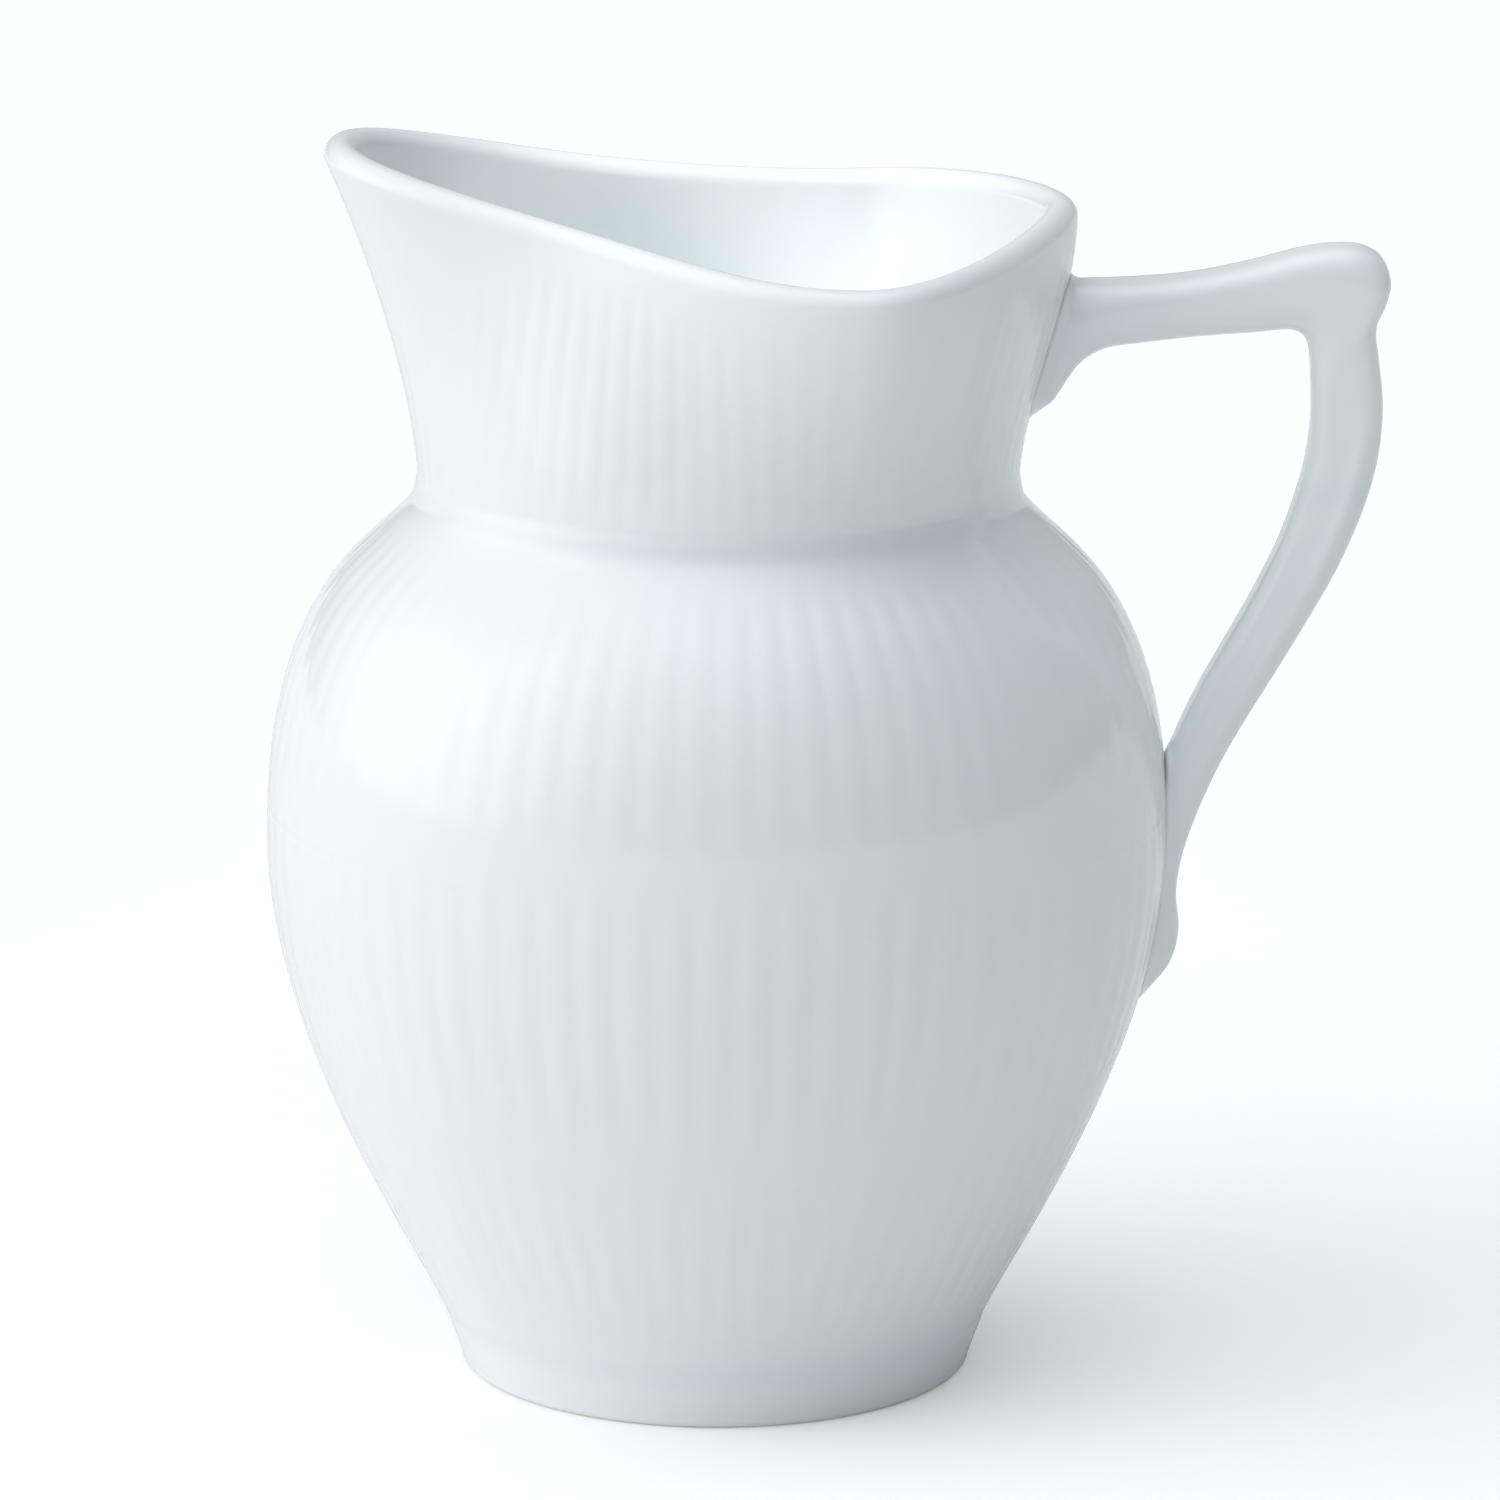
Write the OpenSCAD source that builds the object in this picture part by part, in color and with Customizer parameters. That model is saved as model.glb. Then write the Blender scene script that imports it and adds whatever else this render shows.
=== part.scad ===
// White porcelain pitcher: a round belly on a foot ring, a flared neck pulled out into a spout,
// and a strap handle luted on with slip.
// Millimetres, +Z up, origin at the centre of the standing face, handle toward +X, spout toward -X.

/* [Foot] */
// Outer radius of the foot where it stands
foot_r = 25.7; // [24:0.1:26.5]
// Outer radius at the top of the foot, where the belly starts
foot_top_r = 27.4; // [27:0.1:28.5]
// Height of the foot
foot_h = 5.8; // [5:0.1:7]
// Inner radius of the standing ring
foot_inner_r = 22.2; // [20:0.1:23]
// Depth of the hollow under the floor
foot_recess = 2.6; // [1.5:0.1:3.5]

/* [Belly] */
// Largest radius of the belly
belly_r = 45; // [43:0.5:47]
// Height of the largest radius
belly_z = 55; // [52:0.5:58]
// Radius where the shoulder turns into the collar
shoulder_r = 35.9; // [35:0.1:37]
// Height of that turn
shoulder_z = 83.3; // [82:0.1:84.5]
// Thickness of the cast wall
wall = 3.2; // [2.6:0.1:3.6]

/* [Neck and spout] */
// Outer radius of the crease between belly and neck
neck_r = 29.8; // [29:0.1:31]
// Height of the crease
neck_z = 90; // [89:0.5:91]
// Thickness of the full-round lip
lip_t = 3.4; // [3:0.1:4]
// Reach of the lip's centre line on the handle side
mouth_back = 33.6; // [32:0.1:34]
// Half-width of the mouth at its widest
mouth_half_w = 31.3; // [30:0.1:32]
// Distance from the axis to the spout's tip, on the lip's centre line
spout_reach = 37.3; // [35:0.1:39]
// Height of the lip's lowest point, on its centre line
mouth_low_z = 114.4; // [113:0.1:116]
// Steepness of the lip as it climbs to the spout
spout_rise = 0.25; // [0.15:0.01:0.3]
// Steepness of the lip as it climbs to the handle
back_rise = 0.3; // [0.1:0.01:0.35]

/* [Handle] */
// Width of the handle, across the arm
handle_w = 7.6; // [6.5:0.1:9]
// Radius of the thumb knob at the handle's outer corner
knob_r = 4.1; // [3.8:0.1:4.4]
// Thickness of the slip that joins the handle to the body
slip_t = 0.6; // [0.4:0.1:0.8]

/* [Hidden] */
$fn = 72;

CURVE_STEPS = 20;     // points along each profile curve
COLLAR_STEPS = 6;     // points along the short curve under the neck
RIM_STEPS = 12;       // columns along each of the three curves of half the mouth
NECK_ROWS = 10;       // rows up the neck wall
LIP_STEPS = 6;        // steps round the lip
SECTION_STEPS = 20;   // points round the handle's section
PATH_STEPS = 3;       // stations between two points of a handle's path

foot_edge = 1;        // rounding where the foot stands
floor_top = foot_h + 0.8;
edge_r = 0.8;         // rounding inside the standing ring

porcelain = [0.93, 0.94, 0.95];
slip_white = [0.86, 0.88, 0.9];

// Handle paths: x, z and half-thickness. The ends lie inside the body's wall and are trimmed to it.
loop_path = [
    [29, 107.9, 2.9], [36, 108, 2.95], [42, 108.1, 3], [48, 108.75, 3.1], [53.5, 109.6, 3.4],
    [57.8, 110.1, 4], [61.2, 108.4, 4], [61.9, 103.8, 3.35], [62.1, 98.5, 3.45],
    [61.8, 93.5, 3.4], [60.6, 88.6, 3.2], [58.4, 83.1, 2.95], [55.6, 77.9, 2.8], [52.8, 72.9, 2.7],
    [50.2, 68.1, 2.55], [47.7, 63.2, 2.4], [45.7, 58, 2.35], [44.1, 53, 2.3], [43.5, 48.6, 2.4],
    [43.6, 45, 2.5], [42.8, 42, 2.1], [41, 39.3, 1.6], [39.2, 37, 1.2]
];
root_path = [
    [41.5, 107.5, 1.8], [37.2, 106.4, 2.1], [34.2, 104.5, 2.2], [32, 102.2, 2.2], [30.6, 99.2, 1.9]
];
knob_at = [62.2, 110.5];
root_top = 111;       // height of the slip's top edge on the neck
root_foot = 98;       // height of its lower end
root_corner = 1.5;    // radius of its upper corners

// ---- curves ----

// A cubic curve from a to d with handles b and c, as n + 1 points
function curve(a, b, c, d, n = CURVE_STEPS) = [
    for (i = [0:n]) let (t = i / n, s = 1 - t)
        s * s * s * a + 3 * s * s * t * b + 3 * s * t * t * c + t * t * t * d
];

// A list without its first item, so that two curves share one point
function rest(list) = [for (i = [1:len(list) - 1]) list[i]];

function reversed(list) = [for (i = [len(list) - 1:-1:0]) list[i]];

function unit(v) = v / norm(v);

// The left-hand normal of an open outline at point i
function normal_at(pts, i) =
    let (d = pts[min(i + 1, len(pts) - 1)] - pts[max(i - 1, 0)])
    unit([-d.y, d.x]);

// An open outline moved sideways by a distance
function moved(pts, dist) = [for (i = [0:len(pts) - 1]) pts[i] + dist * normal_at(pts, i)];

// ---- belly, foot and floor ----

lower_curve = curve(
    [foot_top_r, foot_h], [foot_top_r + 3.2, foot_h + 7.3],
    [belly_r, belly_z - 21], [belly_r, belly_z]);
shoulder_curve = curve(
    [belly_r, belly_z], [belly_r, belly_z + 14.8],
    [shoulder_r + 5.3, shoulder_z - 5.1], [shoulder_r, shoulder_z]);
collar_curve = curve(
    [shoulder_r, shoulder_z], [shoulder_r - 2.4, shoulder_z + 2.3],
    [neck_r + 1, neck_z - 2.2], [neck_r, neck_z], COLLAR_STEPS);
upper_curve = concat(shoulder_curve, rest(collar_curve));
widest_inside = [belly_r - wall, belly_z];

module foot_ring() {
    color(porcelain)
        rotate_extrude()
            polygon(concat(
                [[foot_inner_r, foot_h], [foot_inner_r, edge_r], [foot_inner_r + edge_r, 0]],
                [for (a = [-90:15:0])
                    [foot_r - foot_edge + foot_edge * cos(a), foot_edge + foot_edge * sin(a)]],
                [[foot_top_r, foot_h]]));
}

module base_floor() {
    color(porcelain)
        translate([0, 0, foot_recess])
            cylinder(r = foot_inner_r, h = floor_top - foot_recess);
}

module lower_belly() {
    in_curve = moved(lower_curve, wall);
    inside = [for (i = [0:CURVE_STEPS - 1]) [in_curve[i].x, max(floor_top, in_curve[i].y)]];
    color(porcelain)
        rotate_extrude()
            polygon(concat(
                lower_curve,
                [widest_inside],
                reversed(inside),
                [[foot_inner_r, floor_top], [foot_inner_r, foot_h]]));
}

module upper_belly() {
    shoulder_in = concat([widest_inside], rest(moved(shoulder_curve, wall)));
    turn = shoulder_in[CURVE_STEPS];
    neck_in = [neck_r - wall, neck_z];
    collar_in = curve(turn, turn + [-2.2, 2.1], neck_in - [0, 3], neck_in, COLLAR_STEPS);
    color(porcelain)
        rotate_extrude()
            polygon(concat(upper_curve, reversed(concat(shoulder_in, rest(collar_in)))));
}

// ---- neck and spout ----

// Half of the mouth seen from above: handle side, widest point, flank of the spout, tip
half_mouth = concat(
    curve([mouth_back, 0], [mouth_back, 8], [25, mouth_half_w], [14.5, mouth_half_w], RIM_STEPS),
    rest(curve([14.5, mouth_half_w], [3, mouth_half_w], [-6, 22.8], [-18, 17.9], RIM_STEPS)),
    rest(curve([-18, 17.9], [-31, 12.6], [-spout_reach, 9], [-spout_reach, 0], RIM_STEPS)));
far_half = [for (i = [len(half_mouth) - 2:-1:1]) [half_mouth[i].x, -half_mouth[i].y]];
mouth = concat(half_mouth, far_half);
COLUMNS = len(mouth);

// Height of the lip's centre line: a smooth dip that climbs to both ends
function lip_z(x) =
    let (d = x - 12.3, soft = 17, rise = d < 0 ? spout_rise : back_rise)
    mouth_low_z + rise * (sqrt(d * d + soft * soft) - soft);

// Outward normal of the mouth at column i, seen from above
function mouth_normal(i) =
    let (d = mouth[(i + 1) % COLUMNS] - mouth[(i + COLUMNS - 1) % COLUMNS])
    unit([d.y, -d.x]);

// Share of the flare reached at a share t of the neck's height: early at the back, late at the spout
function flare(t, back) = back * t * t * (3 - 2 * t) + (1 - back) * pow(t, 1.6);

// A point of the neck in column i, at share t of its height, moved outward by off
function neck_point(i, t, off) =
    let (
        p = mouth[i],
        ray = unit(p),
        g = flare(t, (1 + ray.x) / 2),
        mid = neck_r - wall / 2,
        out = unit((1 - g) * ray + g * mouth_normal(i)),
        xy = ray * (mid + (norm(p) - mid) * g) + out * off)
    [xy.x, xy.y, neck_z + (lip_z(p.x) - neck_z) * t];

// Half the wall's thickness at share t
function half_wall(t) = (wall + (lip_t - wall) * t) / 2;

// Closed rings of the neck's wall: up the outside, over the lip and down the inside
function neck_rings(extra) = concat(
    [for (j = [0:NECK_ROWS]) let (t = j / NECK_ROWS)
        [for (i = [0:COLUMNS - 1]) neck_point(i, t, half_wall(t) + extra)]],
    [for (k = [1:LIP_STEPS - 1]) let (a = 180 * k / LIP_STEPS)
        [for (i = [0:COLUMNS - 1])
            neck_point(i, 1, (lip_t / 2 + extra) * cos(a)) + [0, 0, (lip_t / 2 + extra) * sin(a)]]],
    [for (j = [NECK_ROWS:-1:0]) let (t = j / NECK_ROWS)
        [for (i = [0:COLUMNS - 1]) neck_point(i, t, -half_wall(t) - extra)]]);

// Skin between closed rings of n points each
function ring_faces(rings, n, looped) = [
    for (j = [0:rings - (looped ? 1 : 2)], i = [0:n - 1])
        let (a = j * n, b = ((j + 1) % rings) * n, k = (i + 1) % n)
        each [[a + i, b + i, b + k], [a + i, b + k, a + k]]
];

function flattened(rings) = [for (ring = rings) each ring];

module neck_and_spout() {
    rings = neck_rings(0);
    color(porcelain)
        polyhedron(flattened(rings), ring_faces(len(rings), COLUMNS, true));
}

// Everything inside the neck's outer face, grown by extra: it trims the handle to the wall
module neck_core(extra) {
    rings = [for (j = [0:NECK_ROWS]) let (t = j / NECK_ROWS)
        [for (i = [0:COLUMNS - 1]) neck_point(i, t, half_wall(t) + extra)]];
    top = (len(rings) - 1) * COLUMNS;
    polyhedron(flattened(rings), concat(
        ring_faces(len(rings), COLUMNS, false),
        [[for (i = [0:COLUMNS - 1]) i], [for (i = [COLUMNS - 1:-1:0]) top + i]]));
}

// Everything inside the belly's outer face, grown by extra
module belly_core(extra) {
    outside = moved(concat(lower_curve, rest(upper_curve)), -extra);
    last = len(outside) - 1;
    rotate_extrude()
        polygon(concat([[0, outside[0].y]], outside, [[0, outside[last].y]]));
}

// ---- handle ----

// A smooth path through the points: stations between p1 and p2, shaped by their neighbours
function between(p0, p1, p2, p3, t) = 0.5 * (
    2 * p1 + (p2 - p0) * t + (2 * p0 - 5 * p1 + 4 * p2 - p3) * t * t
    + (3 * p1 - p0 - 3 * p2 + p3) * t * t * t);

function smooth_path(path) = let (n = len(path) - 1) concat(
    [for (i = [0:n - 1], k = [0:PATH_STEPS - 1])
        between(path[max(i - 1, 0)], path[i], path[i + 1], path[min(i + 2, n)], k / PATH_STEPS)],
    [path[n]]);

// A point of the rounded oblong section at angle a, on a scale from -1 to 1
function squared(v) = sign(v) * pow(abs(v), 0.55);

// A closed solid swept along a path in the XZ plane
module swept(path, width) {
    st = smooth_path(path);
    centre = [for (s = st) [s.x, s.y]];
    rings = [for (i = [0:len(st) - 1]) let (n = normal_at(centre, i))
        [for (k = [0:SECTION_STEPS - 1]) let (
            a = 360 * k / SECTION_STEPS,
            out = squared(cos(a)) * st[i].z)
            [centre[i].x + n.x * out, -squared(sin(a)) * width / 2, centre[i].y + n.y * out]]];
    last = (len(rings) - 1) * SECTION_STEPS;
    polyhedron(flattened(rings), concat(
        ring_faces(len(rings), SECTION_STEPS, false),
        [[for (k = [0:SECTION_STEPS - 1]) k], [for (k = [SECTION_STEPS - 1:-1:0]) last + k]]));
}

// The whole handle before it is trimmed, fatter by extra all round
module handle_blank(extra) {
    grow = [0, 0, extra];
    swept([for (p = loop_path) p + grow], handle_w + 2 * extra);
    swept([for (p = root_path) p + grow], handle_w + 2 * extra);
    translate([knob_at.x, 0, knob_at.y])
        sphere(r = knob_r, $fn = 32);
}

module handle() {
    color(porcelain)
        resize([0, 0, 0])
            difference() {
                handle_blank(0);
                neck_core(slip_t);
                belly_core(slip_t);
            }
}

// The outline of the slip under the handle's root, seen along X: square at the arm, round below
module root_outline() {
    half = (handle_w + slip_t) / 2;
    hull() {
        for (side = [-1, 1])
            translate([side * (half - root_corner), root_top - root_corner])
                circle(r = root_corner, $fn = 24);
        translate([0, root_foot + half])
            circle(r = half, $fn = 36);
    }
}

module upper_handle_joint() {
    color(slip_white)
        resize([0, 0, 0])
            difference() {
                intersection() {
                    neck_core(slip_t);
                    rotate([90, 0, 90])
                        linear_extrude(2 * neck_r)
                            root_outline();
                }
                neck_core(0);
            }
}

module lower_handle_joint() {
    color(slip_white)
        resize([0, 0, 0])
            difference() {
                intersection() {
                    handle_blank(slip_t / 2);
                    belly_core(slip_t);
                }
                belly_core(0);
            }
}

foot_ring();
base_floor();
lower_belly();
upper_belly();
neck_and_spout();
handle();
upper_handle_joint();
lower_handle_joint();
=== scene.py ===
"""A fluted white porcelain pitcher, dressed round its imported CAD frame.

Lengths are in millimetres in the frame's own axes (+Z up, handle toward +X, spout toward -X) and
become metres only when a mesh, a light or the camera is made.
"""

import math

import bpy
import numpy as np
from mathutils import Euler, Matrix, Vector


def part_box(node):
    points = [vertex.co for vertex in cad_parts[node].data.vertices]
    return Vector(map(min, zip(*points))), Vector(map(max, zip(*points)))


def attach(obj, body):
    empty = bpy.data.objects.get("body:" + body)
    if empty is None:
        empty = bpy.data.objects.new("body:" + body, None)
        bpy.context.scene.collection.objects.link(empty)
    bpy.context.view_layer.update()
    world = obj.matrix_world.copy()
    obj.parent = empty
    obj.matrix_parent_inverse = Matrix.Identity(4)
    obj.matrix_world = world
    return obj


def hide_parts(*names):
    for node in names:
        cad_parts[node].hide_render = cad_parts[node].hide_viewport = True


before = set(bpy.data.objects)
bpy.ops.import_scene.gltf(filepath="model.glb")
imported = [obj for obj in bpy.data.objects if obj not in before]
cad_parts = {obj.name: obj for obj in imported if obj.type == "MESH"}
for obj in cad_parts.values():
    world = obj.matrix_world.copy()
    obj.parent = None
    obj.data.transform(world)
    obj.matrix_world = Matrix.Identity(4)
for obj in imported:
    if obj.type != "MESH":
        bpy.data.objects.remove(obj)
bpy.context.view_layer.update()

MM = 0.001


def box_mm(node):
    """Lowest and highest corner of a CAD node in millimetres."""
    low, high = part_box(node)
    return np.array(low) / MM, np.array(high) / MM


# ---- sizes read from the frame ----

FOOT_TOP_R = box_mm("foot_ring")[1][0]
FOOT_H = box_mm("foot_ring")[1][2]
FLOOR_R = box_mm("base_floor")[1][0]
RECESS = box_mm("base_floor")[0][2]
FLOOR_TOP = box_mm("base_floor")[1][2]
BELLY_R = box_mm("lower_belly")[1][0]
BELLY_Z = box_mm("lower_belly")[1][2]
NECK_Z = box_mm("neck_and_spout")[0][2]

# ---- sizes that part.scad states too ----

FOOT_R = 25.7
FOOT_EDGE = 1.0
SHOULDER_R = 35.9
SHOULDER_Z = 83.3
NECK_R = 29.8
WALL = 3.2
LIP_T = 3.4
MOUTH_BACK = 33.6
MOUTH_HALF_W = 31.3
SPOUT_REACH = 37.3
MOUTH_LOW_Z = 114.4
MOUTH_LOW_X = 12.3
MOUTH_SOFT = 17.0
SPOUT_RISE = 0.25
BACK_RISE = 0.3
HANDLE_HALF_W = 3.8

# ---- sizes of the visible shape alone ----

FLAT_R = FLOOR_R - 1  # radius of the flat inside bottom
BOWL_RISE = 4.0       # the round from the flat bottom ends at least this far above it
CENTRE_R = 0.5        # radius of the smallest ring, which a fan closes

# ---- how fine the meshes are ----

FLUTES = 72
COLUMNS = FLUTES * 10
ROW = 1.3             # height of a row of faces on plain stretches of the outside
FINE_ROW = 0.45       # and at the ends of the flutes and the creases
RING_ROW = 0.18       # and across the ring line
FINE_REACH = 2.2      # how far either side of such a place the rows stay close
RING_REACH = 2.2      # the same for the ring line, in its own half-widths
ROW_INSIDE = 2.2
ROW_UNDER = 0.7
ROW_FOOT = 0.3
ROW_FLOOR = 2.0
LIP_ROWS = 16
NECK_PLAIN = (0.07, 0.84)     # shares of the neck's height between which its rows are plain
NECK_LOW_ROWS = 5             # rows below them
NECK_TOP_ROWS = 12            # and above

# ---- curves ----


def bezier(a, b, c, d, n=200):
    """n + 1 points of a cubic curve."""
    t = np.linspace(0, 1, n + 1)[:, None]
    s = 1 - t
    a, b, c, d = (np.array(p, float) for p in (a, b, c, d))
    return s**3 * a + 3 * s * s * t * b + 3 * s * t * t * c + t**3 * d


def arc(centre, radius, start, end, n=24):
    """n + 1 points of an arc in the plane of the outline, angles in degrees."""
    a = np.radians(np.linspace(start, end, n + 1))
    return np.stack([centre[0] + radius * np.cos(a), centre[1] + radius * np.sin(a)], 1)


def line(*points):
    """A straight or broken outline through points."""
    return np.array(points, float)


def joined(*curves):
    """One outline from several that share their end points."""
    return np.vstack([curves[0]] + [c[1:] for c in curves[1:]])


def resampled(outline, spacing):
    """The outline with points about spacing apart. spacing is a length, or a function of the points."""
    steps = np.linalg.norm(np.diff(outline, axis=0), axis=1)
    middle = (outline[1:] + outline[:-1]) / 2
    rows = np.r_[0, np.cumsum(steps / (spacing(middle) if callable(spacing) else spacing))]
    at = np.linspace(0, rows[-1], max(2, round(rows[-1])) + 1)
    return np.stack([np.interp(at, rows, outline[:, k]) for k in range(2)], 1)


def smoothstep(x):
    """0 up to 0, 1 from 1 on, and a smooth step between."""
    x = np.clip(x, 0, 1)
    return x * x * (3 - 2 * x)


def unit(vectors):
    """The vectors at length 1."""
    return vectors / np.maximum(np.linalg.norm(vectors, axis=-1, keepdims=True), 1e-9)


def outline_normals(outline):
    """Unit normals on the right of an outline of (r, z) points."""
    d = np.gradient(outline, axis=0)
    return unit(np.stack([d[:, 1], -d[:, 0]], 1))


# ---- meshes ----


def mesh_object(name, points, faces, normals=None):
    """A smooth-shaded object from points in millimetres, with its own normals if they are given."""
    mesh = bpy.data.meshes.new(name)
    mesh.from_pydata((np.asarray(points) * MM).tolist(), [], faces)
    mesh.update()
    mesh.shade_smooth()
    if normals is not None:
        mesh.normals_split_custom_set_from_vertices(np.asarray(normals).tolist())
    obj = bpy.data.objects.new(name, mesh)
    bpy.context.scene.collection.objects.link(obj)
    return obj


def ring_faces(sizes):
    """Faces between rings of points, ring after ring, closed from the last back to the first.
    A ring of one point closes an end, and then nothing joins the last ring to the first."""
    starts = np.r_[0, np.cumsum(sizes)]
    pairs = [(k, k + 1) for k in range(len(sizes) - 1)]
    if sizes[0] > 1:
        pairs.append((len(sizes) - 1, 0))
    faces = []
    for p, q in pairs:
        a, b = int(starts[p]), int(starts[q])
        n = max(sizes[p], sizes[q])
        for i in range(n):
            k = (i + 1) % n
            if sizes[p] == 1:
                faces.append((a, b + k, b + i))
            elif sizes[q] == 1:
                faces.append((a + i, a + k, b))
            else:
                faces.append((a + i, a + k, b + k, b + i))
    return faces


def ring_mesh(name, rings, normals=None):
    """An object from rings of points, closed as ring_faces says."""
    return mesh_object(name, np.vstack(rings), ring_faces([len(r) for r in rings]),
                       None if normals is None else np.vstack(normals))


# ---- the vessel's form ----

THETA = np.arange(COLUMNS) * 2 * math.pi / COLUMNS
RAYS = np.stack([np.cos(THETA), np.sin(THETA)], 1)

# The belly's outline in curves of four points, the middle two of which are the curve's handles
LOWER = bezier((FOOT_TOP_R, FOOT_H), (FOOT_TOP_R + 3.2, FOOT_H + 7.3),
               (BELLY_R, BELLY_Z - 21), (BELLY_R, BELLY_Z))
SHOULDER = bezier((BELLY_R, BELLY_Z), (BELLY_R, BELLY_Z + 14.8),
                  (SHOULDER_R + 5.3, SHOULDER_Z - 5.1), (SHOULDER_R, SHOULDER_Z))
COLLAR = bezier((SHOULDER_R, SHOULDER_Z), (SHOULDER_R - 2.4, SHOULDER_Z + 2.3),
                (NECK_R + 1, NECK_Z - 2.2), (NECK_R, NECK_Z))
UPPER = joined(SHOULDER, COLLAR)
BELLY = joined(LOWER, UPPER)

# Half of the lip's centre line seen from above, held as its reach at each angle from the handle
HALF_MOUTH = joined(
    bezier((MOUTH_BACK, 0), (MOUTH_BACK, 8), (25, MOUTH_HALF_W), (14.5, MOUTH_HALF_W)),
    bezier((14.5, MOUTH_HALF_W), (3, MOUTH_HALF_W), (-6, 22.8), (-18, 17.9)),
    bezier((-18, 17.9), (-31, 12.6), (-SPOUT_REACH, 9), (-SPOUT_REACH, 0)))
HALF_ANGLES = np.arctan2(HALF_MOUTH[:, 1], HALF_MOUTH[:, 0])
HALF_REACH = np.linalg.norm(HALF_MOUTH, axis=1)


def mouth_reach(theta):
    """Reach of the lip's centre line from the axis."""
    turned = np.abs((theta + math.pi) % (2 * math.pi) - math.pi)
    return np.interp(turned, HALF_ANGLES, HALF_REACH)


def mouth_normals(theta, step=0.02):
    """Outward normals of the mouth seen from above."""
    before, after = (mouth_reach(t)[:, None] * np.stack([np.cos(t), np.sin(t)], 1)
                     for t in (theta - step, theta + step))
    d = after - before
    return unit(np.stack([d[:, 1], -d[:, 0]], 1))


def lip_z(x):
    """Height of the lip's centre line: a smooth dip that climbs to both ends."""
    d = x - MOUTH_LOW_X
    rise = np.where(d < 0, SPOUT_RISE, BACK_RISE)
    return MOUTH_LOW_Z + rise * (np.sqrt(d * d + MOUTH_SOFT**2) - MOUTH_SOFT)


def flare(t, back):
    """Share of the flare reached at a share t of the neck's height: early at the back (1), late at the
    spout (0)."""
    return back * t * t * (3 - 2 * t) + (1 - back) * t**1.6


def half_wall(t):
    """Half of the neck's thickness at share t of its height."""
    return (WALL + (LIP_T - WALL) * t) / 2


REACH = mouth_reach(THETA)
LIP_Z = lip_z(REACH * np.cos(THETA))
MOUTH_OUT = mouth_normals(THETA)
NECK_MID = NECK_R - WALL / 2


def neck_ring(t, off):
    """One ring of the neck at share t of its height, off its middle surface."""
    g = flare(t, (1 + RAYS[:, 0]) / 2)[:, None]
    out = unit((1 - g) * RAYS + g * MOUTH_OUT)
    xy = RAYS * (NECK_MID + (REACH[:, None] - NECK_MID) * g) + out * np.reshape(off, (-1, 1))
    return np.column_stack([xy, NECK_Z + (LIP_Z - NECK_Z) * t])


def turned_ring(r, z, normal=(0, 0), relief=0.0):
    """A ring about the axis, pushed along the outline's normal by the relief."""
    relief = np.broadcast_to(relief, (COLUMNS,))
    return np.column_stack([RAYS * (r + normal[0] * relief)[:, None], z + normal[1] * relief])


# ---- the flutes ----

FLUTE_END = 3.0       # length over which a flute fades out
FLUTE_ROUND = 1.3     # how far the middle of a flute's end reaches past its sides
GROOVE_SOFT = 0.15    # softness of the line between two flutes
RIB_MEAN = 0.6        # mean height of a rib across its width, which is taken off it
RIB_FADE = 1.5        # height over which the ribs fade out toward the foot and the neck
# The tiers of flutes up the belly: from, to and depth
TIERS = [(9.4, 31.2, 0.065), (32.2, 61.0, 0.10), (62.4, 87.6, 0.07)]
# The neck's own tier: how far above the crease it starts, how far below the lip it ends, and its depth
NECK_TIER = (0.4, 1.6, 0.047)
RING_Z = 58.1         # a faint ring line round the widest part
RING_DEPTH = 0.02
RING_HALF_W = 0.35
CREASE_FILL = 0.35    # glaze that rounds the crease between belly and neck
CREASE_HALF_W = 1.1
COLLAR_SLOPE = 1.5    # length along the collar's outline per millimetre of height


def tier_relief(theta, z, low, high, depth, turned):
    """Relief of one tier's ribs about their middle. turned is their turn round the axis, in ribs."""
    across = 2 * ((FLUTES * theta / (2 * math.pi) + turned) % 1) - 1
    height = np.sqrt(np.cos(across * math.pi / 2)**2 + GROOVE_SOFT)
    rounding = FLUTE_ROUND * across**2
    inside = np.minimum(z - (low + rounding), (high - rounding) - z)
    return depth * (height - RIB_MEAN) * smoothstep(inside / FLUTE_END)


def crease_fill(away):
    """Thickness of the fill at a distance along the outline from the crease."""
    return CREASE_FILL * np.exp(-(away / CREASE_HALF_W)**2)


def belly_relief(theta, z):
    """Relief of the belly's outside. Each tier is turned by half a flute against its neighbour."""
    ribs = sum(tier_relief(theta, z, *tier, 0.5 * (k % 2)) for k, tier in enumerate(TIERS))
    ends = smoothstep((z - FOOT_H) / RIB_FADE) * smoothstep((NECK_Z - z) / RIB_FADE)
    ring = RING_DEPTH * math.exp(-((z - RING_Z) / RING_HALF_W)**2)
    return ribs * ends - ring + crease_fill(COLLAR_SLOPE * (NECK_Z - z))


def neck_relief(theta, t):
    """Relief of the neck's outside at share t of its height."""
    above, below, depth = NECK_TIER
    up = (LIP_Z - NECK_Z) * t
    return tier_relief(theta, NECK_Z + up, NECK_Z + above, LIP_Z - below, depth, 0.5) + crease_fill(up)


# ---- the body, ring by ring from the middle of its underside round to the middle of its inside ----


def belly_spacing(points):
    """Rows are close where a flute ends, at the creases and across the ring line."""
    z = points[:, 1]
    spacing = np.full(len(z), ROW)
    for at in [FOOT_H, NECK_Z] + [end for tier in TIERS for end in tier[:2]]:
        spacing = np.minimum(spacing, np.where(np.abs(z - at) < FINE_REACH, FINE_ROW, ROW))
    return np.where(np.abs(z - RING_Z) < RING_REACH * RING_HALF_W, RING_ROW, spacing)


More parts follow.
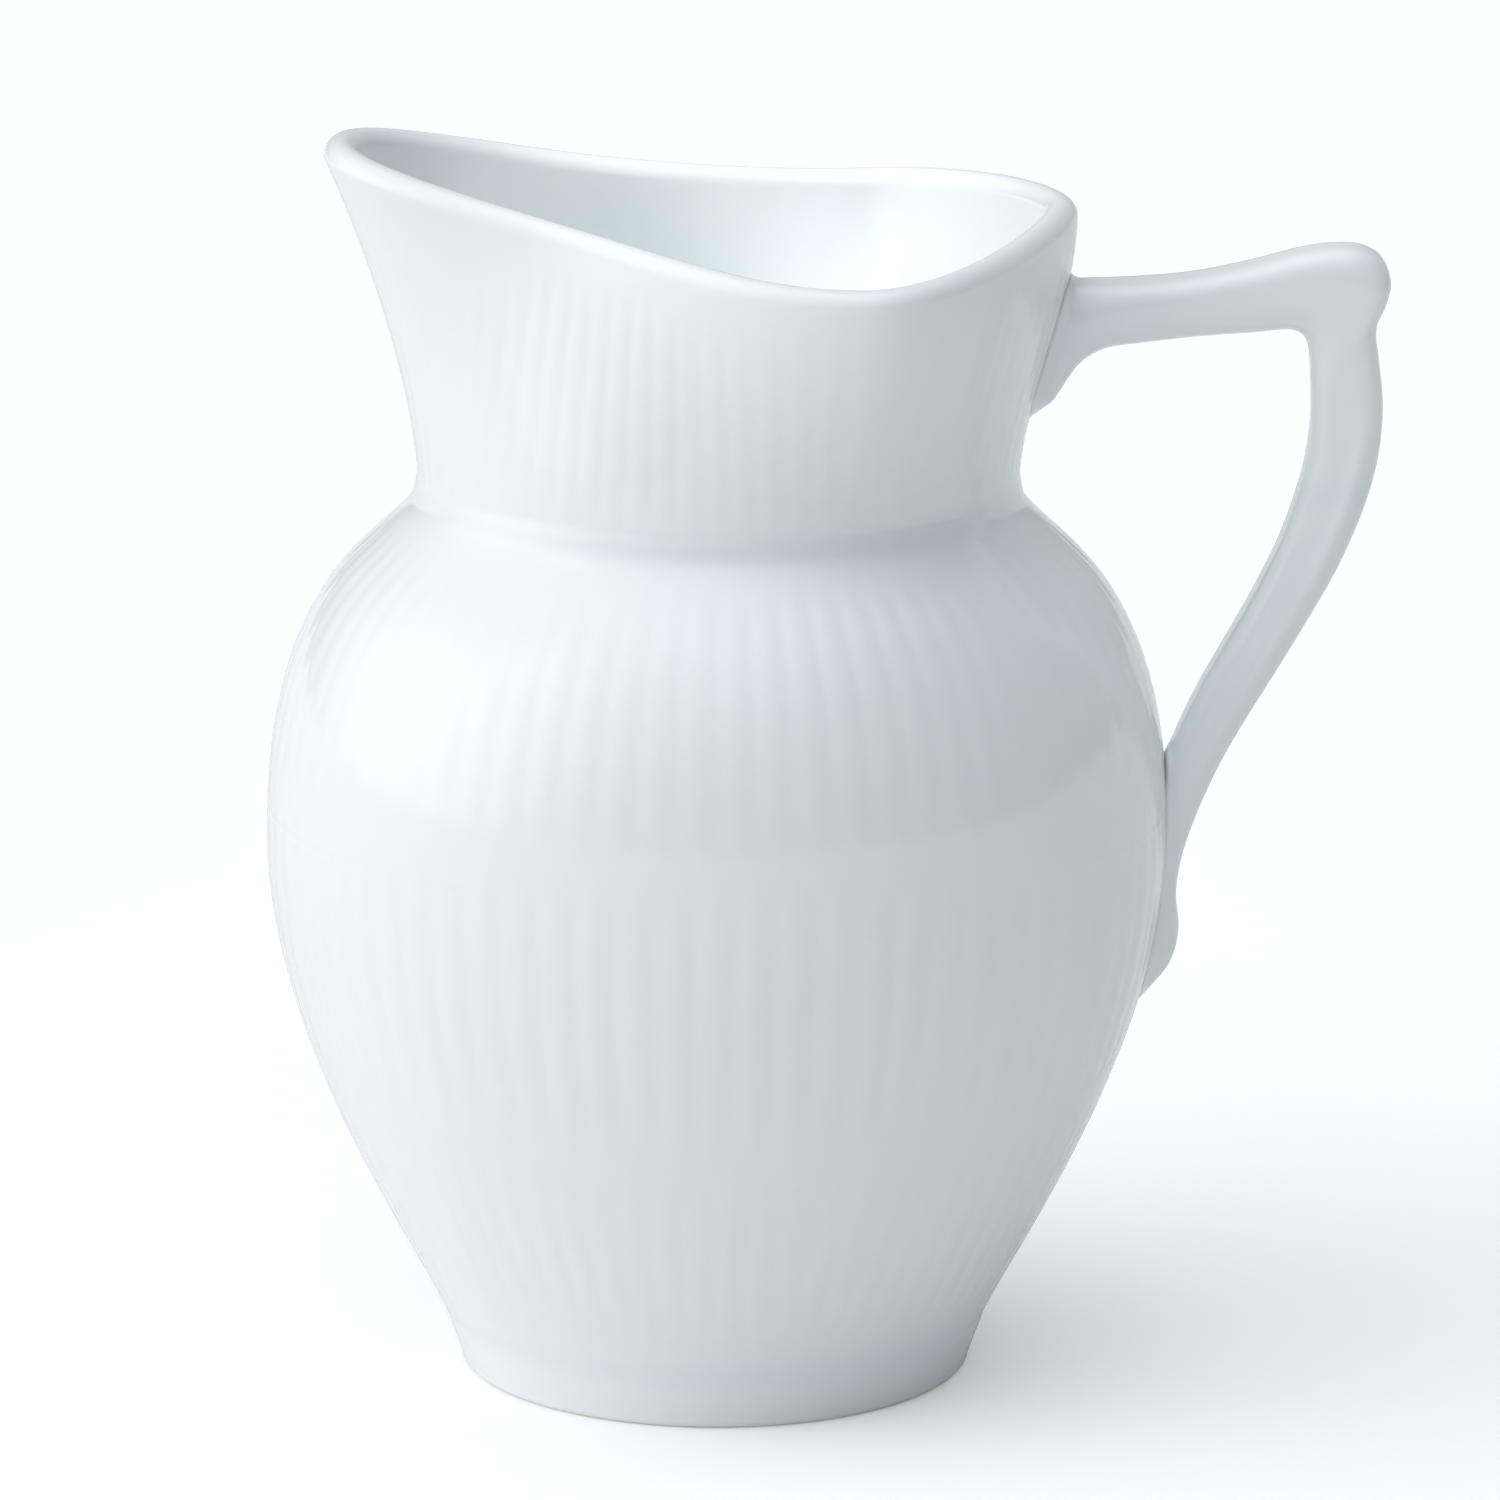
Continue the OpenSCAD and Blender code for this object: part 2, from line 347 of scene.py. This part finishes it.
def outside_rings(outline):
    """Rings of the belly's fluted outside along a stretch of its outline."""
    points = resampled(outline, belly_spacing)
    return [turned_ring(r, z, n, belly_relief(THETA, z))
            for (r, z), n in zip(points, normals_on(points))]


def normals_on(points):
    """Normals of the whole belly's outline at some of its points."""
    whole = outline_normals(BELLY)
    return unit(np.stack([np.interp(points[:, 1], BELLY[:, 1], whole[:, k]) for k in range(2)], 1))


def inside_outlines():
    """The inside of the lower and the upper belly: the outside moved in by the wall, with a round
    bowl at the bottom."""
    lower = LOWER - WALL * normals_on(LOWER)
    shoulder = SHOULDER - WALL * normals_on(SHOULDER)
    turn = shoulder[-1]
    neck_in = np.array([NECK_R - WALL, NECK_Z])
    collar = bezier(turn, turn + (-2.2, 2.1), neck_in - (0, 3), neck_in)
    lower = lower[lower[:, 1] > FLOOR_TOP + BOWL_RISE]
    tangent = unit(lower[1] - lower[0])
    bowl = bezier((FLAT_R, FLOOR_TOP), (FLOOR_R + 1.2, FLOOR_TOP), lower[0] - 2 * tangent, lower[0])
    return joined(line((FLAT_R, FLOOR_TOP), bowl[0]), bowl, lower), joined(shoulder, collar)


def body_sections():
    """The rings in named stretches, in order. Neighbouring stretches share one ring."""
    in_lower, in_upper = inside_outlines()
    rim = in_lower[0]
    under = joined(line((CENTRE_R, RECESS), (FLOOR_R - 2.5, RECESS)),
                   bezier((FLOOR_R - 2.5, RECESS), (FLOOR_R - 0.8, RECESS),
                          (FLOOR_R, RECESS - 0.4), (FLOOR_R, RECESS - 1.3)))
    foot = joined(bezier((FLOOR_R, RECESS - 1.3), (FLOOR_R, 0.3),
                         (FLOOR_R + 0.3, 0), (FLOOR_R + 0.95, 0)),
                  line((FLOOR_R + 0.95, 0), (FOOT_R - FOOT_EDGE, 0)),
                  arc((FOOT_R - FOOT_EDGE, FOOT_EDGE), FOOT_EDGE, -90, 0),
                  line((FOOT_R, FOOT_EDGE), (FOOT_TOP_R, FOOT_H)))
    low, high = NECK_PLAIN
    shares = np.r_[np.linspace(0, low, NECK_LOW_ROWS)[:-1],
                   np.linspace(low, high, round((MOUTH_LOW_Z - NECK_Z) / ROW)),
                   np.linspace(high, 1, NECK_TOP_ROWS)[1:]]
    neck = [neck_ring(t, half_wall(t) + neck_relief(THETA, t)) for t in shares]
    neck[0] = turned_ring(NECK_R, NECK_Z, normals_on(BELLY[-1:])[0], CREASE_FILL)
    for a in np.linspace(0, math.pi, LIP_ROWS + 1)[1:]:
        neck.append(neck_ring(1, LIP_T / 2 * math.cos(a)) + (0, 0, LIP_T / 2 * math.sin(a)))
    inner_rows = round((MOUTH_LOW_Z - NECK_Z) / ROW_INSIDE)
    neck += [neck_ring(t, -half_wall(t)) for t in np.linspace(1, 0, inner_rows + 1)[1:]]
    return {
        "underside": [turned_ring(r, z) for r, z in resampled(under, ROW_UNDER)],
        "foot": [turned_ring(r, z) for r, z in resampled(foot, ROW_FOOT)],
        "lower_out": outside_rings(LOWER),
        "upper_out": outside_rings(UPPER),
        "neck": neck,
        "upper_in": [turned_ring(r, z) for r, z in resampled(in_upper, ROW_INSIDE)[::-1]],
        "lower_in": [turned_ring(r, z) for r, z in resampled(in_lower, ROW_INSIDE)[::-1]],
        "floor": [turned_ring(r, z) for r, z in resampled(line(rim, (CENTRE_R, FLOOR_TOP)), ROW_FLOOR)],
    }


def grid_normals(sections):
    """Smooth normals over all the sections at once, so that no seam shows between two pieces."""
    order = list(sections)
    rows = np.array([ring for k, name in enumerate(order) for ring in sections[name][(k > 0):]])
    around = np.roll(rows, -1, axis=1) - np.roll(rows, 1, axis=1)
    along = np.gradient(rows, axis=0)
    normals = unit(np.cross(around, along))
    out = {}
    start = 0
    for name in order:
        n = len(sections[name])
        out[name] = list(normals[start:start + n])
        start += n - 1
    return out


def make_body(glaze, foot_glaze):
    """The body's five closed pieces. The floor, foot and lower belly meet in a ring hidden in the
    wall."""
    sections = body_sections()
    normals = grid_normals(sections)
    hidden = turned_ring(FLAT_R, FOOT_H)
    middle_under, middle_floor = np.array([[0, 0, RECESS]]), np.array([[0, 0, FLOOR_TOP]])
    down, up = np.array([[0, 0, -1.0]]), np.array([[0, 0, 1.0]])
    inward = -np.column_stack([RAYS, 0 * THETA])

    def piece(name, nodes, rings, ring_normals, mat):
        obj = ring_mesh(name, rings, ring_normals)
        obj.data.materials.append(mat)
        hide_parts(*nodes)
        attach(obj, "root")

    piece("porcelain_floor", ["base_floor"],
          [middle_under] + sections["underside"] + [hidden] + sections["floor"] + [middle_floor],
          [down] + normals["underside"] + [inward] + normals["floor"] + [up], glaze)
    piece("porcelain_foot", ["foot_ring"], sections["foot"] + [hidden],
          normals["foot"] + [inward], foot_glaze)
    piece("porcelain_lower_belly", ["lower_belly"],
          sections["lower_out"] + sections["lower_in"] + [hidden],
          normals["lower_out"] + normals["lower_in"] + [inward], glaze)
    piece("porcelain_upper_belly", ["upper_belly"], sections["upper_out"] + sections["upper_in"],
          normals["upper_out"] + normals["upper_in"], glaze)
    piece("porcelain_neck", ["neck_and_spout"], sections["neck"], normals["neck"],
          glaze)


# ---- the handle ----

# Outer and inner edge of the handle in the XZ plane, pair by pair: root on the neck, arm, knob,
# limb, and the tail on the belly
HANDLE = [
    ((32.6, 110.6), (29.9, 97.9)), ((33.6, 110.8), (31.0, 97.95)), ((34.8, 110.9), (32.0, 98.3)),
    ((36.0, 110.95), (32.9, 98.95)), ((37.2, 111.0), (33.6, 100.0)), ((38.4, 111.0), (34.3, 101.2)),
    ((39.6, 111.05), (35.1, 102.4)), ((41.0, 111.1), (36.3, 103.5)), ((42.6, 111.2), (38.4, 104.5)),
    ((45.0, 111.4), (42.5, 105.1)), ((48.3, 111.9), (47.6, 105.7)), ((52.8, 112.9), (52.8, 106.1)),
    ((57.2, 114.1), (56.0, 106.4)), ((60.4, 114.6), (57.3, 106.05)), ((63.3, 114.5), (57.9, 105.4)),
    ((65.4, 113.3), (58.2, 104.5)), ((66.25, 111.1), (58.35, 103.6)), ((65.8, 108.9), (58.45, 102.7)),
    ((65.05, 107.2), (58.5, 101.7)), ((64.9, 105.6), (58.55, 100.6)), ((65.25, 103.0), (58.6, 99.2)),
    ((65.7, 98.6), (58.6, 96.8)), ((65.3, 93.4), (58.2, 93.4)), ((63.9, 88.1), (57.3, 89.6)),
    ((61.4, 82.1), (55.6, 84.6)), ((58.3, 76.4), (53.1, 79.3)), ((55.4, 71.4), (50.4, 74.3)),
    ((52.6, 66.7), (47.8, 69.5)), ((50.2, 62.3), (45.6, 64.6)), ((48.1, 57.5), (43.6, 59.0)),
    ((46.6, 53.0), (42.1, 53.7)), ((46.0, 48.9), (41.4, 48.7)), ((46.3, 45.1), (41.3, 44.9)),
    ((45.5, 41.8), (40.9, 42.4)), ((43.5, 39.1), (39.5, 40.2)), ((41.4, 37.2), (38.6, 38.3)),
]
HANDLE_STEPS = 12
SECTION_POINTS = 96
SECTION_STEPS = 4000            # fine steps from which the section's even points are read
SECTION_POWERS = (0.66, 0.5)    # across the limb and through it: the flanks are fuller than the edges
TAIL_ROUND = (44.5, 36.6)       # heights between which the tail narrows to its rounded end
TAIL_NARROW = 0.93              # of a full round, where 1 would come to a point
RIDGE = 0.3           # height of the soft ridge along the limb's flanks
RIDGE_IN = 2.0        # distance of the ridge from the limb's outer edge
RIDGE_HALF_W = 0.9
RIDGE_SPAN = (56.0, 100.0)      # heights between which the ridge runs
RIDGE_FADE = 8.0                # length over which it fades at both
BEAD_R = 1.3          # height of the slip's fillet off the body
BEAD_OUT = 0.8        # and its width round the handle
BEAD_BURIED = 0.6     # how far it goes on under the body's skin
BEAD_DEPTH = 0.35     # thickness of the shell under the handle's skin
BEAD_NEAR = 3         # fillet heights off the body within which the handle's skin is looked at
BEAD_SKIN = 0.012     # the fillet lies this far off the handle's skin, its thin edge this far under
BEAD_EDGE = 0.2       # share of the fillet over which it comes out from under the skin
NECK_TILT = -0.28     # how far the neck's skin faces down behind the handle


def smooth_line(points, steps):
    """Catmull-Rom curve through points."""
    p = np.array(points, float)
    p = np.vstack([2 * p[0] - p[1], p, 2 * p[-1] - p[-2]])
    out = []
    for i in range(1, len(p) - 2):
        p0, p1, p2, p3 = p[i - 1:i + 3]
        for t in np.arange(steps) / steps:
            out.append(0.5 * (2 * p1 + (p2 - p0) * t + (2 * p0 - 5 * p1 + 4 * p2 - p3) * t * t
                              + (3 * p1 - p0 - 3 * p2 + p3) * t**3))
    out.append(p[-2])
    return np.array(out)


def section():
    """Even steps round an oblong with rounded corners, reaching 1 along both of its axes."""
    angles = np.linspace(2 * math.pi, 0, SECTION_STEPS + 1)
    u, v = (np.sign(w) * np.abs(w)**power
            for w, power in zip((np.cos(angles), np.sin(angles)), SECTION_POWERS))
    run = np.r_[0, np.cumsum(np.hypot(np.diff(u), np.diff(v)))]
    at = np.linspace(0, run[-1], SECTION_POINTS, endpoint=False)
    return np.interp(at, run, u), np.interp(at, run, v)


def handle_rings():
    """Cross-sections of the handle, root to tail: rounded oblongs, ridged along the limb."""
    u, v = section()
    low, high = RIDGE_SPAN
    rings = []
    for row in smooth_line([[*outer, *inner] for outer, inner in HANDLE], HANDLE_STEPS):
        centre, half = (row[:2] + row[2:]) / 2, (row[:2] - row[2:]) / 2
        fade = smoothstep((centre[1] - low) / RIDGE_FADE) * smoothstep((high - centre[1]) / RIDGE_FADE)
        on_ridge = np.exp(-(((1 - u) * np.linalg.norm(half) - RIDGE_IN) / RIDGE_HALF_W)**2)
        flat = centre + u[:, None] * half
        down = np.clip((TAIL_ROUND[0] - centre[1]) / (TAIL_ROUND[0] - TAIL_ROUND[1]), 0, 1)
        half_w = HANDLE_HALF_W * math.sqrt(1 - (TAIL_NARROW * down)**2)
        rings.append(np.column_stack([flat[:, 0], v * (half_w + RIDGE * fade * on_ridge), flat[:, 1]]))
    return rings


def make_handle(glaze):
    """The handle, closed at both ends by a fan."""
    rings = handle_rings()
    handle = ring_mesh("porcelain_handle", [[rings[0].mean(0)]] + rings + [[rings[-1].mean(0)]])
    handle.data.materials.append(glaze)
    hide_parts("handle")
    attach(handle, "root")
    return handle


def off_body(points):
    """Distance of points off the body's outer skin, and the skin's normals there."""
    theta = np.arctan2(points[:, 1], points[:, 0])
    z = points[:, 2]
    reach = mouth_reach(theta)
    share = (z - NECK_Z) / (lip_z(reach * np.cos(theta)) - NECK_Z)
    neck = NECK_MID + (reach - NECK_MID) * flare(np.clip(share, 0, 1), 1) + half_wall(share)
    belly = np.interp(z, BELLY[:, 1], BELLY[:, 0])
    on_neck = z > NECK_Z
    tilt = np.where(on_neck, NECK_TILT, np.interp(z, BELLY[:, 1], outline_normals(BELLY)[:, 1]))
    level = np.sqrt(1 - tilt**2)
    away = (np.hypot(points[:, 0], points[:, 1]) - np.where(on_neck, neck, belly)) * level
    return away, np.column_stack([np.cos(theta) * level, np.sin(theta) * level, tilt])


def vertex_array(mesh, what):
    """One of the mesh's vertex vectors, co or normal, with a row for each vertex."""
    values = np.zeros(len(mesh.vertices) * 3)
    mesh.vertices.foreach_get(what, values)
    return values.reshape(-1, 3)


def cut_faces(faces, rows, limit, sign):
    """Faces cut where the last column of their corners' rows reaches a limit, and the rows with those
    of the new corners added. sign says which side is kept."""
    rows, made, out = list(rows), {}, []
    for face in faces:
        over = [sign * (rows[v][-1] - limit) >= 0 for v in face]
        cut = []
        for k, a in enumerate(face):
            b = face[(k + 1) % len(face)]
            if over[k]:
                cut.append(a)
            if over[k] != over[(k + 1) % len(face)]:
                pair = (min(a, b), max(a, b))
                if pair not in made:
                    share = (limit - rows[pair[0]][-1]) / (rows[pair[1]][-1] - rows[pair[0]][-1])
                    made[pair] = len(rows)
                    rows.append(rows[pair[0]] + share * (rows[pair[1]] - rows[pair[0]]))
                cut.append(made[pair])
        if len(cut) > 2:
            out.append(tuple(cut))
    return out, np.array(rows)


def make_slip_joint(name, node, handle, on_neck, glaze):
    """The fillet of slip round one end of the handle: a thin closed shell that flares onto the body.
    It is the handle's own skin between two distances off the body, pushed outward, and its shading
    turns from the handle's to the body's."""
    points = vertex_array(handle.data, "co") / MM
    rows = np.column_stack([points, vertex_array(handle.data, "normal"), off_body(points)[0]])
    near = (np.abs(rows[:, -1]) < BEAD_NEAR * BEAD_R) & ((points[:, 2] > NECK_Z) == on_neck)
    faces = [tuple(p.vertices) for p in handle.data.polygons if near[list(p.vertices)].all()]
    faces, rows = cut_faces(faces, rows, BEAD_R, -1)
    faces, rows = cut_faces(faces, rows, -BEAD_BURIED, 1)
    used = sorted({v for face in faces for v in face})
    number = {v: i for i, v in enumerate(used)}
    front = [tuple(number[v] for v in face) for face in faces]
    points, normals, away = rows[used, :3], unit(rows[used, 3:6]), rows[used, 6]
    skin = off_body(points)[1]
    flat = normals - (normals * skin).sum(1)[:, None] * skin
    share = np.clip(1 - away / BEAD_R, 0, 1)[:, None]
    lift = BEAD_SKIN * (2 * smoothstep(share / BEAD_EDGE) - 1)
    outer = points + BEAD_OUT * share**2 * flat + lift * normals
    inner = points - BEAD_DEPTH * normals
    facing = unit(np.sqrt(1 - share**2) * normals + share * skin)
    back = [tuple(v + len(used) for v in reversed(face)) for face in front]
    edges = {(a, b) for face in front for a, b in zip(face, face[1:] + face[:1])}
    rim = [(b, a, a + len(used), b + len(used)) for a, b in sorted(edges) if (b, a) not in edges]
    bead = mesh_object(name, np.vstack([outer, inner]), front + back + rim,
                       np.vstack([facing, -normals]))
    bead.data.materials.append(glaze)
    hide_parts(node)
    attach(bead, "root")


# ---- materials: the sizes and depths of textures are in metres ----

NOISE_SPREAD = (0.3, 0.7)             # between these a noise takes most of its values
GLAZE_IOR = 1.5
GLAZE = (0.92, 0.943, 0.946)
SLIP_GLAZE = (0.91, 0.93, 0.94)
DRIFT_SIZE = 0.03
DRIFT_SHADE = (0.985, 0.99, 0.995)
POOL_COLOUR = (0.80, 0.86, 0.89)
POOL_STRENGTH = 0.3
POOL_HALF_W = 2.4                     # millimetres either side of a crease
SPECK_SPACING = 0.009
SPECK_SHARE = 0.03
SPECK_R = 0.02                        # in spacings
SPECK_COLOUR = (0.35, 0.33, 0.30)
GLOSS_SIZE = 0.012
GLOSS_ROUGHNESS = (0.06, 0.12)
PEEL_SIZE = 0.0016
PEEL_DEPTH = 0.000003
WAVE_SIZE = 0.011
WAVE_DEPTH = 0.00006
GRAIN_SIZE = 0.0005
GRAIN_DEPTH = 0.00006
BARE_HEIGHT = (0.1, 0.4)              # millimetres: bare below, glazed above
EDGE_WOBBLE = 0.15                    # and how far that edge wanders
BARE_COLOURS = ((0.88, 0.875, 0.86), (0.80, 0.795, 0.78))
BARE_ROUGHNESS = (0.5, 0.7)


def node_maker(mat):
    """A short way to add a node, set its values and link its inputs."""
    tree = mat.node_tree

    def make(kind, values=(), links=(), **settings):
        node = tree.nodes.new("ShaderNode" + kind)
        for key, value in settings.items():
            setattr(node, key, value)
        for key, value in dict(values).items():
            node.inputs[key].default_value = value
        for key, socket in dict(links).items():
            tree.links.new(socket, node.inputs[key])
        return node

    return make


def glaze_material(name, tint, bare_edge=False):
    """White glaze: slow drifts of tone, a cool tint where it pools in the creases, a soft orange peel,
    uneven gloss and a few tiny specks. A bare edge is wiped of glaze where the foot stands."""
    mat = bpy.data.materials.new(name)
    mat.use_nodes = True
    make = node_maker(mat)
    shader = mat.node_tree.nodes["Principled BSDF"]
    shader.inputs["IOR"].default_value = GLAZE_IOR
    at = make("TexCoord").outputs["Object"]
    height = make("SeparateXYZ", links={0: at}).outputs["Z"]

    def noise(scale, detail, roughness=0.5):
        return make("TexNoise", {"Scale": scale, "Detail": detail, "Roughness": roughness},
                    {"Vector": at}).outputs["Fac"]

    def remap(value, low, high, to_low, to_high, smooth=False):
        return make("MapRange", {1: low, 2: high, 3: to_low, 4: to_high}, {0: value},
                    interpolation_type="SMOOTHSTEP" if smooth else "LINEAR").outputs[0]

    def mix(amount, first, second):
        """first and second are a colour each, or the output that brings it."""
        node = make("Mix", data_type="RGBA")
        mat.node_tree.links.new(amount, node.inputs["Factor"])
        for socket, colour in ((node.inputs[6], first), (node.inputs[7], second)):
            if isinstance(colour, tuple):
                socket.default_value = (*colour, 1)
            else:
                mat.node_tree.links.new(colour, socket)
        return node.outputs[2]

    def near(level, half_width):
        """1 at a height on the object, 0 beyond half_width from it."""
        gap = make("Math", {1: level * MM}, {0: height}, operation="SUBTRACT").outputs[0]
        gap = make("Math", links={0: gap}, operation="ABSOLUTE").outputs[0]
        return remap(gap, 0, half_width * MM, 1, 0, smooth=True)

    drift = remap(noise(1 / DRIFT_SIZE, 2), *NOISE_SPREAD, 0, 1)
    colour = mix(drift, tint, tuple(c * k for c, k in zip(tint, DRIFT_SHADE)))
    pools = make("Math", links={0: near(NECK_Z, POOL_HALF_W), 1: near(FOOT_H, POOL_HALF_W)},
                 operation="ADD").outputs[0]
    pools = make("Math", {1: POOL_STRENGTH}, {0: pools}, operation="MULTIPLY").outputs[0]
    colour = mix(pools, colour, POOL_COLOUR)
    cells = make("TexVoronoi", {"Scale": 1 / SPECK_SPACING}, {"Vector": at})
    lot = make("SeparateColor", links={0: cells.outputs["Color"]}).outputs[0]
    chosen = make("Math", {1: SPECK_SHARE}, {0: lot}, operation="LESS_THAN").outputs[0]
    dot = remap(cells.outputs["Distance"], SPECK_R / 2, SPECK_R, 1, 0)
    specks = make("Math", links={0: chosen, 1: dot}, operation="MULTIPLY").outputs[0]
    colour = mix(specks, colour, SPECK_COLOUR)
    gloss = remap(noise(1 / GLOSS_SIZE, 4), *NOISE_SPREAD, *GLOSS_ROUGHNESS)
    peel = noise(1 / PEEL_SIZE, 2)
    wave = noise(1 / WAVE_SIZE, 1)
    relief = make("Bump", {"Distance": PEEL_DEPTH}, {"Height": peel}).outputs[0]
    relief = make("Bump", {"Distance": WAVE_DEPTH}, {"Height": wave, "Normal": relief}).outputs[0]
    if bare_edge:
        grain = noise(1 / GRAIN_SIZE, 6, 0.7)
        wobble = remap(noise(1 / DRIFT_SIZE, 1), 0, 1, -EDGE_WOBBLE * MM, EDGE_WOBBLE * MM)
        edge = make("Math", links={0: height, 1: wobble}, operation="ADD").outputs[0]
        bare = remap(edge, BARE_HEIGHT[0] * MM, BARE_HEIGHT[1] * MM, 1, 0, smooth=True)
        colour = mix(bare, colour, mix(remap(grain, *NOISE_SPREAD, 0, 1), *BARE_COLOURS))
        rough = remap(grain, *NOISE_SPREAD, *BARE_ROUGHNESS)
        gloss = make("Mix", links={"Factor": bare, 2: gloss, 3: rough}).outputs[0]
        relief = make("Bump", {"Distance": GRAIN_DEPTH},
                      {"Height": grain, "Strength": bare, "Normal": relief}).outputs[0]
    for socket, value in (("Base Color", colour), ("Roughness", gloss), ("Normal", relief)):
        mat.node_tree.links.new(value, shader.inputs[socket])
    return mat


# ---- stage ----

CAMERA_AT = (3.25, -980.2, 308.6)
CAMERA_PITCH = 14.07
CAMERA_ROLL = 0.29
LENS = 242.8
SENSOR = 36
CLIP = (0.05, 50)                     # metres
FLOOR_HALF = 3000
FLOOR_COLOURS = ((0.915, 0.915, 0.915), (0.895, 0.895, 0.895))
FLOOR_ROUGHNESS = 0.9
PAPER_SIZE = 0.004                    # metres
FLOOR_GLOW = 0.24
GLOW_COLOUR = (1, 0.93, 0.88)
LIGHT_BOUNCES = 16

# The studio's glows: azimuth from the front toward the right and elevation, in degrees, how tight
# the glow is, and its colour
SKY = [
    (-90, 12, 6, (1.88, 1.88, 1.90)), (-60, 25, 8, (1.10, 1.11, 1.12)), (-68, 46, 60, (0.9, 0.9, 0.9)),
    (0, 50, 6, (0.63, 0.72, 0.79)), (0, 90, 6, (1.62, 1.71, 1.77)),
    (180, 12, 6, (0.42, 0.43, 0.44)), (135, 12, 6, (0.36, 0.40, 0.43)),
]
MOUTH_LIGHT_AT = (0, -50, 190)
MOUTH_LIGHT_AIM = (2, 24, 100)
MOUTH_LIGHT_SIZE = 30
MOUTH_LIGHT_SPREAD = 40
MOUTH_LIGHT_ENERGY = 0.0038


def make_camera():
    """A long lens in front of the pitcher and a little above it."""
    data = bpy.data.cameras.new("camera")
    data.lens = LENS
    data.sensor_width = SENSOR
    data.clip_start, data.clip_end = CLIP
    camera = bpy.data.objects.new("camera", data)
    camera.location = Vector(CAMERA_AT) * MM
    aim = Euler((math.radians(90 - CAMERA_PITCH), 0, 0)).to_matrix()
    camera.rotation_euler = (aim @ Matrix.Rotation(math.radians(CAMERA_ROLL), 3, "Z")).to_euler()
    bpy.context.scene.collection.objects.link(camera)
    bpy.context.scene.camera = camera


def make_floor():
    """A pale matt sweep with its paper's faint mottling. Its glow is seen by the camera alone and
    lights nothing."""
    s = FLOOR_HALF
    floor = mesh_object("floor", [(-s, -s, 0), (s, -s, 0), (s, s, 0), (-s, s, 0)], [(0, 1, 2, 3)])
    mat = bpy.data.materials.new("pale_floor")
    mat.use_nodes = True
    make = node_maker(mat)
    shader = mat.node_tree.nodes["Principled BSDF"]
    mottle = make("TexNoise", {"Scale": 1 / PAPER_SIZE, "Detail": 3},
                  {"Vector": make("TexCoord").outputs["Object"]}).outputs["Fac"]
    tone = make("Mix", {6: (*FLOOR_COLOURS[0], 1), 7: (*FLOOR_COLOURS[1], 1)}, {"Factor": mottle},
                data_type="RGBA")
    mat.node_tree.links.new(tone.outputs[2], shader.inputs["Base Color"])
    shader.inputs["Roughness"].default_value = FLOOR_ROUGHNESS
    shader.inputs["Emission Color"].default_value = (*GLOW_COLOUR, 1)
    seen = make("LightPath").outputs["Is Camera Ray"]
    glow = make("Math", {1: FLOOR_GLOW}, {0: seen}, operation="MULTIPLY").outputs[0]
    mat.node_tree.links.new(glow, shader.inputs["Emission Strength"])
    floor.data.materials.append(mat)


def mouth_light():
    """A small light above the front with a narrow spread that falls on the back of the mouth."""
    data = bpy.data.lights.new("overhead", "AREA")
    data.shape = "DISK"
    data.size = MOUTH_LIGHT_SIZE * MM
    data.energy = MOUTH_LIGHT_ENERGY
    data.spread = math.radians(MOUTH_LIGHT_SPREAD)
    light = bpy.data.objects.new("overhead", data)
    light.location = Vector(MOUTH_LIGHT_AT) * MM
    toward = Vector(MOUTH_LIGHT_AIM) - Vector(MOUTH_LIGHT_AT)
    light.rotation_euler = toward.to_track_quat("-Z", "Y").to_euler()
    light.visible_camera = False
    light.visible_glossy = False
    bpy.context.scene.collection.objects.link(light)


def sky_direction(azimuth, elevation):
    """The direction of a light in the sky: azimuth from the front toward the right, in degrees."""
    a, e = math.radians(azimuth), math.radians(elevation)
    return math.cos(e) * math.sin(a), -math.cos(e) * math.cos(a), math.sin(e)


def make_world():
    """A studio tent: wide soft glows that add up all round, dark toward the right."""
    world = bpy.data.worlds.new("studio")
    world.use_nodes = True
    make = node_maker(world)
    view = make("TexCoord").outputs["Generated"]
    glow = None
    for azimuth, elevation, power, colour in SKY:
        facing = make("VectorMath", {1: sky_direction(azimuth, elevation)}, {0: view},
                      operation="DOT_PRODUCT").outputs["Value"]
        facing = make("Math", {1: 0}, {0: facing}, operation="MAXIMUM").outputs[0]
        share = make("Math", {1: power}, {0: facing}, operation="POWER").outputs[0]
        links = {0: share} if glow is None else {0: share, 2: glow}
        glow = make("VectorMath", {1: colour}, links, operation="MULTIPLY_ADD").outputs[0]
    world.node_tree.links.new(glow, world.node_tree.nodes["Background"].inputs["Color"])
    scene = bpy.context.scene
    scene.world = world
    scene.view_settings.view_transform = "Standard"
    scene.cycles.max_bounces = LIGHT_BOUNCES
    scene.cycles.diffuse_bounces = LIGHT_BOUNCES


glaze = glaze_material("glazed_porcelain", GLAZE)
foot_glaze = glaze_material("foot_porcelain", GLAZE, bare_edge=True)
slip_glaze = glaze_material("luting_slip", SLIP_GLAZE)
make_body(glaze, foot_glaze)
handle = make_handle(glaze)
make_slip_joint("slip_joint_upper", "upper_handle_joint", handle, True, slip_glaze)
make_slip_joint("slip_joint_lower", "lower_handle_joint", handle, False, slip_glaze)
make_camera()
make_floor()
make_world()
mouth_light()
